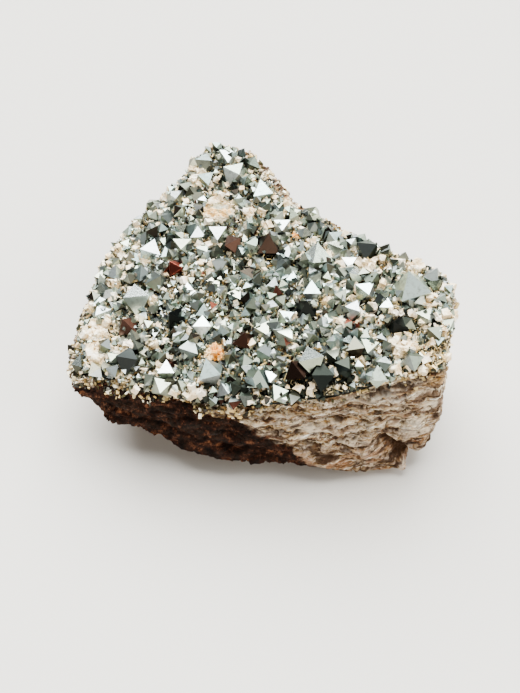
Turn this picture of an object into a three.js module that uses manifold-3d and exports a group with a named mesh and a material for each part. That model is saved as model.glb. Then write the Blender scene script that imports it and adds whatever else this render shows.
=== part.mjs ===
// A hand specimen of magnetite: a wedge of pale, layered host rock whose upper face is
// crusted with grey-black octahedra, with a few grains of feldspar and iron stain among them.
// Units are millimetres. +Z is up, +X is the thick end of the wedge, and -Y is the broken
// front. The origin is the middle of the bounding box, at the height of the flat foot.
import * as THREE from "three";
import { ImprovedNoise } from "three/addons/math/ImprovedNoise.js";
import { mergeVertices } from "three/addons/utils/BufferGeometryUtils.js";
import Module from "manifold-3d";

const wasm = await Module();
wasm.setup();

const noise = new ImprovedNoise();
const radians = THREE.MathUtils.degToRad;

// The bed is the upper face of the rock, on which the crystals grew. It rises to the right
// and to the back, swells gently, and rolls down towards the front edge.
const BED = {
  height: 30,
  riseRight: 7,
  riseBack: 5,
  rollFrom: -31,
  rollAngle: 18,
  swell: 1.1,
  swellLength: 19,
};

// Pieces that touch keep this gap, because their vertices are stored as 32-bit numbers.
const GAP = 0.3;
const BED_BLOCK = { side: 112, cells: 10, floor: -12 };

const ROCK = {
  columns: 92,
  rise: 6,
  shoulderRings: 4,
  sillRings: 4,
  footRings: 2,
  coarse: { depth: 1.5, length: 11 },
  fine: { depth: 0.9, length: 4.2 },
  layer: { depth: 1.4, thickness: 8, dip: 0.12, wander: 0.7, wanderLength: 16 },
};

const CRUST = { thickness: 1.3, spacing: 5.2, seed: 20117 };
const SMALL_CRYSTAL = { leastEdge: 2.5, mostEdge: 4.4, mostLean: 50, leastFlat: 0.8, clear: 0.1 };
const CRYSTAL_RISE = 0.26;

const COLOURS = {
  rock: 0x9a8268,
  magnetite: 0x59646a,
  stained: 0x4a2822,
  feldspar: 0xe6cfb2,
  limonite: 0xd68a3c,
};

// The rock's outline, counterclockwise from its right corner. Each station gives the rim
// (x, y), where the bed ends, then the shoulder (x, y, z), the sill (x, y, z) and the foot
// (x, y), which is at z = 0.
const STATIONS = [
  { rim: [46.5, -9], shoulder: [46, -8, 22], sill: [42.5, -9, 6], foot: [36, -12] },
  { rim: [41.8, -3.6], shoulder: [40.8, -3.2, 20], sill: [37, -6, 5], foot: [31, -8] },
  { rim: [34.8, 0], shoulder: [33.8, 0, 21], sill: [31.5, -2, 7], foot: [26, -4] },
  { rim: [29, 4.8], shoulder: [28.5, 4.8, 19], sill: [26.5, 2, 6], foot: [22, -1] },
  { rim: [22.2, 8.8], shoulder: [22, 9, 20], sill: [20.5, 6, 5], foot: [17, 3] },
  { rim: [14.6, 15.6], shoulder: [14.5, 16.2, 18], sill: [12.8, 13, 5], foot: [10, 8] },
  { rim: [8.4, 20.6], shoulder: [8.6, 21.8, 20], sill: [7.2, 19, 6], foot: [4, 13] },
  { rim: [5, 27.4], shoulder: [5.2, 28, 18], sill: [3.4, 25.5, 5], foot: [0, 19] },
  { rim: [-4, 38.8], shoulder: [-3.4, 38, 20], sill: [-5, 33.6, 7], foot: [-6, 26] },
  { rim: [-12.5, 42.5], shoulder: [-12, 40, 20], sill: [-12, 36, 8], foot: [-11, 28] },
  { rim: [-18, 38], shoulder: [-17, 37, 19], sill: [-16, 34, 7], foot: [-15, 26] },
  { rim: [-23, 29.5], shoulder: [-22, 29, 18], sill: [-20, 28, 6], foot: [-18, 22] },
  { rim: [-30, 22], shoulder: [-29, 22, 17], sill: [-26, 21, 6], foot: [-22, 16] },
  { rim: [-36.5, 14], shoulder: [-36, 15, 16], sill: [-33, 13, 6], foot: [-27, 10] },
  { rim: [-41.5, 4.5], shoulder: [-41, 5, 15], sill: [-38, 4, 6], foot: [-30, 3] },
  { rim: [-44.5, -6], shoulder: [-44, -6, 14], sill: [-41, -6, 6], foot: [-32, -4] },
  { rim: [-46, -18], shoulder: [-45, -18, 15], sill: [-42, -17, 8], foot: [-32, -12] },
  { rim: [-46.5, -29.5], shoulder: [-45, -29.5, 18], sill: [-42, -29.5, 14], foot: [-30, -18] },
  { rim: [-38, -31.5], shoulder: [-38, -32, 20.5], sill: [-37.5, -33, 12], foot: [-26, -21] },
  { rim: [-28, -32.5], shoulder: [-28, -33, 21.5], sill: [-28, -36, 10], foot: [-20, -26] },
  { rim: [-18, -35.5], shoulder: [-18, -36.5, 21.5], sill: [-18, -40, 8], foot: [-13, -31] },
  { rim: [-6, -37.5], shoulder: [-6, -39, 20], sill: [-6, -42, 5.5], foot: [-5, -35] },
  { rim: [5, -37.5], shoulder: [5, -41.5, 15], sill: [5, -41.5, 3.5], foot: [5, -37] },
  { rim: [16, -37], shoulder: [16, -42.5, 8.5], sill: [16, -42, 2.5], foot: [16, -39] },
  { rim: [26, -35], shoulder: [26, -39, 16], sill: [26, -43, 1.5], foot: [25, -41] },
  { rim: [35, -33.5], shoulder: [35.5, -38, 15], sill: [34.5, -42.5, 2], foot: [32, -40] },
  { rim: [42, -33], shoulder: [43.5, -35, 15], sill: [40, -37.5, 5.5], foot: [35, -36] },
  { rim: [44, -26], shoulder: [45.5, -27, 14], sill: [42.5, -28, 5], foot: [37, -28] },
  { rim: [45.5, -17], shoulder: [46, -18, 18], sill: [43.5, -18, 6], foot: [37, -20] },
];

// The crust of crystals stops a little inside the rim, and leaves bare rock at the two
// front corners.
const CRUST_EDGE = [
  [45.3, -10], [40.7, -5], [34, -1.8], [28.2, 3.2], [21.4, 7.2], [13.6, 14], [6.4, 18.6],
  [2, 25], [-6, 36.2], [-12.5, 41.5], [-17.5, 37], [-22.5, 28.5], [-29.5, 21],
  [-36, 13], [-41, 4], [-43.5, -6], [-44.8, -18], [-44, -27], [-38.5, -28.5],
  [-34, -29.5], [-29, -32], [-18, -35], [-6, -37], [5, -37], [16, -36.5], [24, -35],
  [31, -33], [35, -31], [39, -28.5], [42.8, -25], [44.5, -17],
];

// The crystals that stand out of the crust. Each has one face turned to the sky: its corner
// points along the bearing `tip`, and the face leans by `lean` degrees towards the bearing
// `toward`. Bearings are degrees from +X, so 90 is the back and -90 the front.
const LEADERS = [
  { x: -11.5, y: 10, edge: 4.6, tip: -90, lean: 12, toward: -90 },
  { x: -15, y: 5.2, edge: 3.4, tip: 180, lean: 12, toward: 90 },
  { x: -7.5, y: 6, edge: 4.6, tip: 60, lean: 50, toward: -70, stained: true },
  { x: 1.5, y: 4.4, edge: 5.8, tip: 90, lean: 46, toward: -90, stained: true },
  { x: 5, y: 10.4, edge: 4.2, tip: -90, lean: 0, toward: 0 },
  { x: 13.5, y: -0.3, edge: 6.4, tip: 110, lean: 28, toward: -20 },
  { x: 18.8, y: 2.6, edge: 4.6, tip: 175, lean: 15, toward: 90 },
  { x: 21.4, y: -2, edge: 3.8, tip: 30, lean: 10, toward: -90 },
  { x: 12, y: -9.8, edge: 4.4, tip: 90, lean: 8, toward: -90 },
  { x: 10.6, y: -14.6, edge: 4.6, tip: 90, lean: 55, toward: -90 },
  { x: 24.9, y: -11.2, edge: 4.6, tip: -80, lean: 8, toward: 90 },
  { x: 35.7, y: -12, edge: 7.4, tip: -13, lean: 34, toward: -90 },
  { x: 41, y: -8.4, edge: 4, tip: 60, lean: 30, toward: -100 },
  { x: 26, y: 1.2, edge: 5, tip: 20, lean: 35, toward: -110 },
  { x: 29.8, y: -15.8, edge: 3.4, tip: 200, lean: 10, toward: 180 },
  { x: 21.8, y: -16, edge: 4, tip: 185, lean: 10, toward: 90 },
  { x: 38.4, y: -19.6, edge: 4.2, tip: -75, lean: 14, toward: 120 },
  { x: 31.8, y: -21.4, edge: 4.2, tip: 0, lean: 60, toward: -90 },
  { x: 13.4, y: -33, edge: 5.4, tip: 30, lean: 62, toward: -80 },
  { x: 11.4, y: -29.7, edge: 6, tip: -20, lean: 22, toward: 120 },
  { x: 8, y: -31.2, edge: 5, tip: 90, lean: 55, toward: -120, stained: true },
  { x: 26.4, y: -33.4, edge: 4.2, tip: 90, lean: 22, toward: -90 },
  { x: 0.2, y: -19.6, edge: 4, tip: 60, lean: 10, toward: -60 },
  { x: 5.6, y: -22, edge: 4.2, tip: 180, lean: 14, toward: 60 },
  { x: 5.6, y: -16.6, edge: 3.6, tip: 150, lean: 10, toward: 0 },
  { x: 0.2, y: -25.6, edge: 4.2, tip: -50, lean: 25, toward: -20 },
  { x: -1.2, y: -32.2, edge: 5.2, tip: 90, lean: 50, toward: -85 },
  { x: -12.2, y: -30.2, edge: 5.4, tip: 100, lean: 24, toward: -120 },
  { x: -8.6, y: -34.2, edge: 3.8, tip: -90, lean: 25, toward: 30 },
  { x: -17.6, y: -23.6, edge: 4.8, tip: 75, lean: 14, toward: -45 },
  { x: -14.6, y: -17.8, edge: 4.4, tip: -150, lean: 8, toward: 90 },
  { x: -4.6, y: -21.8, edge: 4.4, tip: 70, lean: 52, toward: -100, stained: true },
  { x: -28.8, y: 5.4, edge: 5.4, tip: 200, lean: 14, toward: 0 },
  { x: -20.6, y: 6.4, edge: 4.8, tip: -90, lean: 10, toward: 90 },
  { x: -31.4, y: -8.8, edge: 6.6, tip: -20, lean: 18, toward: 90 },
  { x: -26.6, y: -3.4, edge: 4.8, tip: 100, lean: 30, toward: 160 },
  { x: -40, y: -11.6, edge: 4.2, tip: 0, lean: 12, toward: 100 },
  { x: -22.2, y: 0.6, edge: 3.8, tip: 0, lean: 40, toward: -100, stained: true },
  { x: -33.2, y: -15.6, edge: 4.6, tip: 100, lean: 56, toward: -100, stained: true },
  { x: -21.4, y: -14.6, edge: 4.6, tip: 120, lean: 58, toward: -90 },
  { x: -22.8, y: -29, edge: 4, tip: 90, lean: 10, toward: -90 },
  { x: -32.4, y: -25.8, edge: 5.4, tip: 20, lean: 50, toward: -95 },
  { x: -9.2, y: 35, edge: 4.6, tip: -90, lean: 15, toward: -90 },
  { x: -15.6, y: 33.6, edge: 4.8, tip: 200, lean: 18, toward: 90 },
  { x: -7.2, y: 28.4, edge: 5.6, tip: -70, lean: 12, toward: 90 },
  { x: -23.2, y: 22.6, edge: 4.4, tip: 160, lean: 15, toward: 90 },
  { x: 0, y: 21.8, edge: 5.2, tip: 100, lean: 20, toward: -90 },
];

// Grains of other minerals that show between the crystals: half-buried, the large ones
// rounded and the small ones angular.
const GRAINS = [
  { name: "feldspar_01", x: -11.2, y: 17.6, size: [4.4, 3.4, 2.8], colour: COLOURS.feldspar },
  { name: "feldspar_02", x: -39.2, y: -17, size: [3.8, 1.7, 1.9], colour: COLOURS.feldspar },
  { name: "feldspar_03", x: -40, y: -23.4, size: [2.8, 3, 2], colour: COLOURS.feldspar },
  { name: "feldspar_04", x: 37.4, y: -5.8, size: [2.6, 1.3, 2.4], colour: COLOURS.feldspar },
  { name: "feldspar_05", x: 27, y: -5, size: [3, 2.4, 1.9], colour: COLOURS.feldspar },
  { name: "feldspar_06", x: 33, y: -27, size: [3, 2.4, 2], colour: COLOURS.feldspar },
  { name: "feldspar_07", x: -26.6, y: -20.6, size: [1.7, 1.5, 1.9], colour: COLOURS.feldspar },
  { name: "limonite_01", x: -11.6, y: -24.4, size: [2.6, 2.2, 2.4], colour: COLOURS.limonite },
  { name: "limonite_02", x: 8, y: 7.8, size: [1.2, 1.1, 1.9], colour: COLOURS.limonite },
];
const GRAIN_SHAPE = { depth: 0.22, length: 0.5, smoothFrom: 3.5 };

// Height of the bed over a point.
function bedHeight(x, y) {
  const roll = Math.max(0, BED.rollFrom - y) * Math.tan(radians(BED.rollAngle));
  const swell = BED.swell * noise.noise(x / BED.swellLength, y / BED.swellLength, 0.5);
  const slope = x * Math.tan(radians(BED.riseRight)) + y * Math.tan(radians(BED.riseBack));
  return BED.height + slope + swell - roll;
}

// A closed geometry as a solid for joining and cutting.
function toSolid(geometry) {
  const bare = new THREE.BufferGeometry();
  bare.setAttribute("position", geometry.getAttribute("position"));
  if (geometry.index) bare.setIndex(geometry.index);
  const merged = mergeVertices(bare, 1e-4);
  const mesh = new wasm.Mesh({
    numProp: 3,
    vertProperties: new Float32Array(merged.attributes.position.array),
    triVerts: new Uint32Array(merged.index.array),
  });
  return new wasm.Manifold(mesh);
}

function toGeometry(solid) {
  const mesh = solid.getMesh();
  const geometry = new THREE.BufferGeometry();
  geometry.setAttribute("position", new THREE.BufferAttribute(mesh.vertProperties, 3));
  geometry.setIndex(new THREE.BufferAttribute(mesh.triVerts, 1));
  const flat = geometry.toNonIndexed();
  flat.computeVertexNormals();
  return flat;
}

function moveVertices(geometry, place) {
  const position = geometry.getAttribute("position");
  const point = new THREE.Vector3();
  for (let i = 0; i < position.count; i++) {
    point.fromBufferAttribute(position, i);
    place(point);
    position.setXYZ(i, point.x, point.y, point.z);
  }
  return geometry;
}

// Everything below the bed, raised by `lift`.
function belowBed(lift) {
  const { side, cells, floor } = BED_BLOCK;
  const block = new THREE.BoxGeometry(side, side, 1, cells, cells, 1);
  return toSolid(
    moveVertices(block, (p) => {
      p.z = p.z > 0 ? bedHeight(p.x, p.y) + lift : floor;
    }),
  );
}

// A seeded source of numbers from 0 to 1.
function randomSource(seed) {
  let state = seed;
  return () => {
    state = (Math.imul(state, 1664525) + 1013904223) >>> 0;
    return state / 4294967296;
  };
}

// Four points down the side of the rock at a share `u` of the way round its stations.
function sideProfile(u) {
  const along = u * STATIONS.length;
  const before = STATIONS[Math.floor(along) % STATIONS.length];
  const after = STATIONS[(Math.floor(along) + 1) % STATIONS.length];
  const share = along - Math.floor(along);
  const level = (name, height) => {
    const a = new THREE.Vector3(before[name][0], before[name][1], before[name][2] ?? 0);
    const b = new THREE.Vector3(after[name][0], after[name][1], after[name][2] ?? 0);
    const point = a.lerp(b, share);
    if (height) point.z = height(point.x, point.y);
    return point;
  };
  return [level("rim", bedHeight), level("shoulder"), level("sill"), level("foot")];
}

// How far the broken side stands out at a point: lumps of two sizes, and ledges where the
// rock split along its layers.
function relief(point) {
  const { coarse, fine, layer } = ROCK;
  const { x, y, z } = point;
  const lump = ({ depth, length }, seed) =>
    depth * noise.noise(x / length, y / length, z / length + seed);
  const wander = noise.noise(x / layer.wanderLength, y / layer.wanderLength, 7.3);
  const level = (z + x * layer.dip) / layer.thickness + layer.wander * wander;
  const ledge = layer.depth * (Math.abs(2 * (level - Math.floor(level)) - 1) - 0.5);
  return lump(coarse, 3.1) + lump(fine, 9.4) + ledge;
}

function buildRock() {
  const rings = 2 + ROCK.shoulderRings + ROCK.sillRings + ROCK.footRings;
  const tube = new THREE.CylinderGeometry(1, 1, 1, ROCK.columns, rings - 1);
  const column = (u, ring) => {
    const [rim, shoulder, sill, foot] = sideProfile(u);
    if (ring === 0) return rim.clone().setZ(rim.z + ROCK.rise);
    const down = ring - 1;
    const spans = [
      [rim, shoulder, ROCK.shoulderRings],
      [shoulder, sill, ROCK.sillRings],
      [sill, foot, ROCK.footRings],
    ];
    let passed = 0;
    for (const [from, to, count] of spans) {
      if (down <= passed + count) return from.clone().lerp(to, (down - passed) / count);
      passed += count;
    }
    return foot;
  };
  const outward = (u, ring) => {
    const step = 1 / ROCK.columns;
    const along = column((u + step) % 1, ring).sub(column((u + 1 - step) % 1, ring));
    return new THREE.Vector3(along.y, -along.x, 0).normalize();
  };
  const middle = new THREE.Vector3(0, -6, 0);
  moveVertices(tube, (p) => {
    const fromTop = 0.5 - p.y;
    const ring = Math.round(fromTop * (rings - 1));
    if (Math.hypot(p.x, p.z) < 0.5) {
      const top = ring === 0;
      p.copy(middle).setZ(top ? bedHeight(middle.x, middle.y) + ROCK.rise : 0);
      return;
    }
    const u = Math.round((Math.atan2(-p.z, p.x) / (2 * Math.PI)) * ROCK.columns) / ROCK.columns;
    const turn = (u + 1) % 1;
    const place = column(turn, ring);
    const last = ring === rings - 1;
    const share = ring <= 1 ? 0.25 : last ? 0.4 : 1;
    const moved = place.clone().addScaledVector(outward(turn, ring), share * relief(place));
    if (!last && ring > 1) moved.z = Math.max(moved.z, 0.4);
    p.copy(moved);
  });
  return toSolid(tube).intersect(belowBed(0));
}

// An octahedron with one face level and uppermost, whose corner points along +X. Its
// middle is the origin, and `flat` squeezes it along the vertical.
function levelOctahedron(edge, flat = 1) {
  const geometry = new THREE.OctahedronGeometry(edge / Math.SQRT2);
  const face = new THREE.Vector3(1, 1, 1).normalize();
  const stand = new THREE.Quaternion().setFromUnitVectors(face, new THREE.Vector3(0, 0, 1));
  const corner = new THREE.Vector3(1, 0, 0).applyQuaternion(stand);
  geometry.applyQuaternion(stand);
  geometry.rotateZ(-Math.atan2(corner.y, corner.x));
  return geometry.scale(1, 1, flat);
}

// The same crystal with every face moved out by `margin`, as the socket that it sits in.
function crystalSolid({ x, y, edge, tip, lean, toward, flat }, margin = 0) {
  const inradius = edge / Math.sqrt(6);
  const geometry = levelOctahedron(edge * (1 + margin / (inradius * (flat ?? 1))), flat);
  const bearing = radians(toward);
  const hinge = new THREE.Vector3(-Math.sin(bearing), Math.cos(bearing), 0);
  geometry.rotateZ(radians(tip));
  geometry.applyQuaternion(new THREE.Quaternion().setFromAxisAngle(hinge, radians(lean)));
  geometry.translate(x, y, bedHeight(x, y) + CRUST.thickness + CRYSTAL_RISE * edge);
  return toSolid(geometry);
}

function grainSolid({ x, y, size }, margin = 0) {
  const { depth, length, smoothFrom } = GRAIN_SHAPE;
  const geometry = new THREE.IcosahedronGeometry(1, size[0] > smoothFrom ? 1 : 0);
  moveVertices(geometry, (p) => {
    const swell = 1 + depth * noise.noise(p.x / length + x, p.y / length + y, p.z / length);
    p.multiplyScalar(swell);
    p.set(p.x * (size[0] + margin), p.y * (size[1] + margin), p.z * (size[2] + margin));
  });
  geometry.translate(x, y, bedHeight(x, y) + CRUST.thickness);
  return toSolid(geometry);
}

function largestBody(solid) {
  return solid.decompose().reduce((a, b) => (b.volume() > a.volume() ? b : a));
}

// Leaders, then grains: each is cut by the bed, and by the sockets of those before it.
function buildStanding(list, make, sockets, floor) {
  return list.map((item) => {
    let solid = make(item).subtract(floor);
    for (const socket of sockets) solid = solid.subtract(socket);
    sockets.push(make(item, GAP));
    return largestBody(solid);
  });
}

function insideEdge(x, y) {
  let inside = false;
  CRUST_EDGE.forEach(([ax, ay], i) => {
    const [bx, by] = CRUST_EDGE[(i + 1) % CRUST_EDGE.length];
    if (ay > y !== by > y && x < ((bx - ax) * (y - ay)) / (by - ay) + ax) inside = !inside;
  });
  return inside;
}

// Small crystals on a jittered triangular grid, clear of everything that stands in the crust.
function smallCrystals(standing) {
  const random = randomSource(CRUST.seed);
  const { leastEdge, mostEdge, mostLean, leastFlat, clear } = SMALL_CRYSTAL;
  const reach = 48;
  const rowStep = (CRUST.spacing * Math.sqrt(3)) / 2;
  const rows = Math.ceil(reach / rowStep);
  const columns = Math.ceil(reach / CRUST.spacing);
  const crystals = [];
  for (let row = -rows; row <= rows; row++) {
    for (let column = -columns; column <= columns; column++) {
      const shift = row % 2 ? 0.5 : 0;
      const x = (column + shift + 0.55 * (random() - 0.5)) * CRUST.spacing;
      const y = row * rowStep + 0.55 * (random() - 0.5) * CRUST.spacing;
      const crystal = {
        x,
        y,
        edge: leastEdge + (mostEdge - leastEdge) * random() ** 1.6,
        tip: 360 * random(),
        lean: mostLean * random(),
        toward: 360 * random(),
        flat: leastFlat + (1 - leastFlat) * random(),
      };
      const margin = clear * crystal.edge;
      const blocked = standing.some(({ min, max }) => {
        const besideX = x > min.x - margin && x < max.x + margin;
        const besideY = y > min.y - margin && y < max.y + margin;
        return besideX && besideY;
      });
      if (!blocked && insideEdge(x, y)) crystals.push(crystal);
    }
  }
  return crystals;
}

function buildCrust(crystals, sockets) {
  const shape = new THREE.Shape(CRUST_EDGE.map(([x, y]) => new THREE.Vector2(x, y)));
  const slab = new THREE.ExtrudeGeometry(shape, { depth: 60, bevelEnabled: false });
  const layer = toSolid(slab).intersect(belowBed(GAP + CRUST.thickness));
  const grown = crystals.map((crystal) => crystalSolid(crystal));
  const pieces = grown.reduce((sum, crystal) => sum.add(crystal), layer);
  const cut = sockets.reduce((rest, socket) => rest.subtract(socket), pieces);
  return largestBody(cut.subtract(belowBed(GAP)));
}

function mesh(name, solid, colour, roughness, metalness) {
  const material = new THREE.MeshStandardMaterial({ color: colour, roughness, metalness });
  material.flatShading = true;
  const made = new THREE.Mesh(toGeometry(solid), material);
  made.name = name;
  return made;
}

const floor = belowBed(GAP);
const sockets = [];
const leaders = buildStanding(LEADERS, crystalSolid, sockets, floor);
const grains = buildStanding(GRAINS, grainSolid, sockets, floor);

const specimen = new THREE.Group();
specimen.add(mesh("host_rock", buildRock(), COLOURS.rock, 0.9, 0));
leaders.forEach((solid, i) => {
  const name = "octahedron_" + String(i + 1).padStart(2, "0");
  const colour = LEADERS[i].stained ? COLOURS.stained : COLOURS.magnetite;
  specimen.add(mesh(name, solid, colour, 0.3, 0.8));
});
grains.forEach((solid, i) => specimen.add(mesh(GRAINS[i].name, solid, GRAINS[i].colour, 0.6, 0)));
const standing = specimen.children
  .filter((child) => child.name !== "host_rock")
  .map((child) => new THREE.Box3().setFromObject(child));
const crust = buildCrust(smallCrystals(standing), sockets);
specimen.add(mesh("crystal_crust", crust, COLOURS.magnetite, 0.35, 0.8));

// The stations are measured from a point near the middle; this puts the origin exactly there.
const bounds = new THREE.Box3().setFromObject(specimen);
const middle = bounds.getCenter(new THREE.Vector3());
specimen.position.set(-middle.x, -middle.y, -bounds.min.z);

export default specimen;
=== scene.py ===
"""Magnetite specimen: broken host rock under a druse of metallic octahedra."""
import math
import random

import bmesh
import bpy
import numpy as np
from bpy.props import FloatProperty, FloatVectorProperty, IntProperty, PointerProperty
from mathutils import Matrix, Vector, noise
from mathutils.bvhtree import BVHTree


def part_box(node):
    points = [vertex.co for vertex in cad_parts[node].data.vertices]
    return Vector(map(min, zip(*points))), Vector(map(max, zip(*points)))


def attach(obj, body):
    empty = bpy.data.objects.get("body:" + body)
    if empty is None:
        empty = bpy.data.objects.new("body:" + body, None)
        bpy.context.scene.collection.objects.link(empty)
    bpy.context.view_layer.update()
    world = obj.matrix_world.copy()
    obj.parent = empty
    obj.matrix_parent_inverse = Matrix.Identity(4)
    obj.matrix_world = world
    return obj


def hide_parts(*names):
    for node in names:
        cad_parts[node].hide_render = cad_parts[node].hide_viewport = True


bl_info = {
    "name": "Magnetite Specimen",
    "version": (1, 0, 0),
    "blender": (4, 5, 0),
    "location": "View3D > Sidebar > Specimen",
    "description": "Dresses a magnetite specimen with broken rock and grown crystals",
    "category": "Object",
}

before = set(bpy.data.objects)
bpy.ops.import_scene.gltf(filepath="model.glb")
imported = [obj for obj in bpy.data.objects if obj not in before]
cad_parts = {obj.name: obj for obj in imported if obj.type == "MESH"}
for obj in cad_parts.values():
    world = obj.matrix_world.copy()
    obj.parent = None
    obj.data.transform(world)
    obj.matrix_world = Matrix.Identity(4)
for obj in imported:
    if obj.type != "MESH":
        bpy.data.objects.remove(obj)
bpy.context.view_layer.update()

MM = 0.001

# The druse ends on this line, seen from above, in millimetres.
CRUST_EDGE = [
    (45.4, -9.3), (40.8, -4.3), (34.1, -1.1), (28.3, 3.9), (21.5, 7.9), (13.7, 14.7),
    (6.5, 19.3), (2.1, 25.7), (-5.9, 36.9), (-12.4, 42.2), (-17.4, 37.7), (-22.4, 29.2),
    (-29.4, 21.7), (-35.9, 13.7), (-40.9, 4.7), (-43.6, -5.3), (-45.2, -17.3),
    (-44.6, -25.8), (-41.5, -26.6), (-33.2, -29.2), (-26.9, -32.2), (-19.6, -33.8),
    (-14.8, -35.0), (-7.6, -36.4), (6.5, -37.0), (13.5, -36.7), (19.0, -36.0),
    (24.0, -34.6), (29.5, -33.0), (35.5, -32.4), (40.5, -31.8), (43.6, -29.0),
    (44.4, -24.3), (45.3, -16.3),
]

# Masses of feldspar that fill the druse between the crystals: x, y and radius.
FELDSPAR_PATCHES = [
    (25.8, -3.5, 2.6), (20.5, -7.3, 1.7), (32.5, -3.3, 2.4), (37.0, -3.2, 2.2),
    (30.0, -1.2, 1.5), (17.2, 2.6, 1.4), (15.9, -11.7, 1.5), (28.4, -9.2, 1.2),
    (26.4, -14.2, 1.2), (31.9, -16.2, 1.7), (28.0, -19.1, 1.3), (24.3, -17.3, 1.4),
    (33.2, -24.8, 3.2), (26.6, -26.1, 1.4), (35.9, -17.1, 1.3), (40.3, -15.1, 2.1),
    (42.4, -18.2, 2.0), (42.0, -22.4, 1.4), (38.6, -20.8, 1.4),
    (18.8, -1.4, 1.3), (-39.3, -14.4, 3.0), (-40.0, -20.4, 2.9), (-43.6, -16.5, 1.5),
    (-43.2, -9.0, 1.4), (-42.0, -5.0, 1.3), (-37.2, -2.2, 1.4), (-40.1, 4.0, 1.3),
    (-35.1, 5.2, 1.4), (-30.3, 2.9, 1.2), (-33.3, 14.8, 1.7), (-37.0, 8.0, 1.4),
    (-26.3, -20.2, 1.4), (-11.7, 20.8, 3.8), (-17.6, 27.8, 1.9), (-21.8, 19.2, 1.6),
    (-2.9, 16.8, 1.9), (-18.0, 32.6, 1.2), (2.6, 19.4, 1.7), (0.8, 11.3, 1.4),
    (-7.0, -8.0, 1.3), (-12.0, -20.2, 1.3), (-33.0, -21.0, 1.5), (12.5, 5.0, 1.4),
]

# The ridge that runs down across the broken front, from left to right: x and z. The rock
# below it is undercut, stained by iron, and darkened further by painted shade.
FRONT_RIDGE = [
    (-46, 20.8), (-42, 22.4), (-38, 25.6), (-28, 26), (-22, 24.2), (-17, 22.4), (-11, 21.2),
    (-4, 19), (4.3, 13.8), (9.3, 9.6), (17, 4.4), (24, 0),
]

# Hollows and bumps that stand out on the broken front: x, z, half width, half height, and
# how far the rock stands out there in millimetres.
FRONT_SHAPES = [
    (33.0, 15.5, 6.0, 1.6, 0.8), (35.4, 2.4, 1.8, 1.6, 2.0), (14.0, 17.6, 5.5, 1.2, 0.8),
    (22.0, 23.5, 5.0, 1.4, -0.8), (-44.0, 17.0, 1.5, 1.2, 1.0), (6.0, 21.5, 6.0, 1.2, -0.8),
    (40.8, 7.0, 2.6, 2.4, 0.9), (24.0, 9.5, 4.0, 2.0, 0.8), (19.0, 20.4, 4.0, 0.9, -0.6),
]

# The sharp lip at the lower right, from left to right: x and z. The rock has broken away
# below it.
FRONT_LIP = [(26.5, 16.2), (30.0, 14.4), (35.0, 9.6), (40.2, 3.6), (42.4, 2.6)]

# Cream streaks and spots on the broken front: x, z, half width and half height.
FRONT_CREAM = [
    (13.4, 17.6, 5.2, 1.1), (27.2, 4.0, 1.8, 2.2), (21.5, 12.8, 5.0, 0.8),
    (34.5, 17.5, 6.0, 0.9), (-43.6, 17.0, 1.6, 1.2), (38.8, 25.0, 4.5, 1.5),
    (40.8, 21.0, 3.4, 1.4), (38.6, 13.2, 4.6, 1.3), (31.0, 23.6, 3.4, 0.8),
]

# The pale band under the druse at the right of the front, from left to right: x and z.
PALE_BAND = [(16, 26), (19, 26.7), (24, 26.9), (29.5, 27.5), (35, 29), (42, 31)]

# The right front corner, where iron has stained the rock and the bed, and the middle of its
# golden flakes, seen from above: x and y.
GOLDEN_CORNER = (41, -30)
GOLDEN_FLAKES = (40, -27.5)

# Small crystals turned to red oxide, seen from above: x and y.
RED_SPOTS = [(-21.5, -26.4), (-23.6, -0.8), (22.0, -18.9), (-10.8, -36.0)]

# Where the druse lies in its own shade: middle, half width, half depth, and how much darker
# its crystals are there.
DARK_HOLLOWS = [
    ((13, -32.5), 9, 5.5, 0.7), ((-10, -35), 9, 3, 0.5), ((34, -19), 7, 3.5, 0.3),
]

# The large crystals that have turned brown to red.
STAINED = [f"octahedron_{number:02}" for number in (3, 4, 21, 32, 38, 39)]

# How bright the faces of a large crystal are, from 0 for black to 1 for white, and how bright
# the others are.
COMMON_TONE = 0.9
# The large crystals' tones match how bright each looks where it lies: partly its own tone, partly
# painted light and shade.
LEADER_TONES = {f"octahedron_{number:02}": tone for number, tone in (
    (3, 0.6), (4, 0.38), (10, 0.03), (12, 1.0), (13, 0.7), (14, 0.35), (18, 0.03), (19, 0.05),
    (20, 0.5), (21, 0.42), (26, 0.45), (27, 0.5), (30, 0.6), (32, 0.6), (35, 0.8), (36, 0.5),
    (38, 1.0), (39, 0.72), (40, 0.03), (42, 0.2))}

# What is strewn: the node that makes a shape, and its inputs. A ball of four segments and two
# rings is an octahedron, and a block's sides are shares of its longest.
OCTAHEDRON = ("GeometryNodeMeshUVSphere", {"Segments": 4, "Rings": 2, "Radius": 1.0})
CORNERS = {"Vertices X": 2, "Vertices Y": 2, "Vertices Z": 2}
ROCK_CRUMB = ("GeometryNodeMeshCube", {"Size": (1, 1, 0.6), **CORNERS})
GRAIN = ("GeometryNodeMeshCube", {
    "Size": (1, 1, 1), "Vertices X": 3, "Vertices Y": 3, "Vertices Z": 3})
FLAKE = ("GeometryNodeMeshCube", {"Size": (1, 0.25, 0.08), **CORNERS})
LITTER = ("GeometryNodeMeshCube", {"Size": (1, 0.8, 0.45), **CORNERS})


def linear(hex_colour):
    """An sRGB hex colour as linear red, green, blue and alpha."""
    parts = [int(hex_colour[i:i + 2], 16) / 255 for i in (1, 3, 5)]
    curve = [c / 12.92 if c <= 0.04045 else ((c + 0.055) / 1.055) ** 2.4 for c in parts]
    return (*curve, 1.0)


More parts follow.
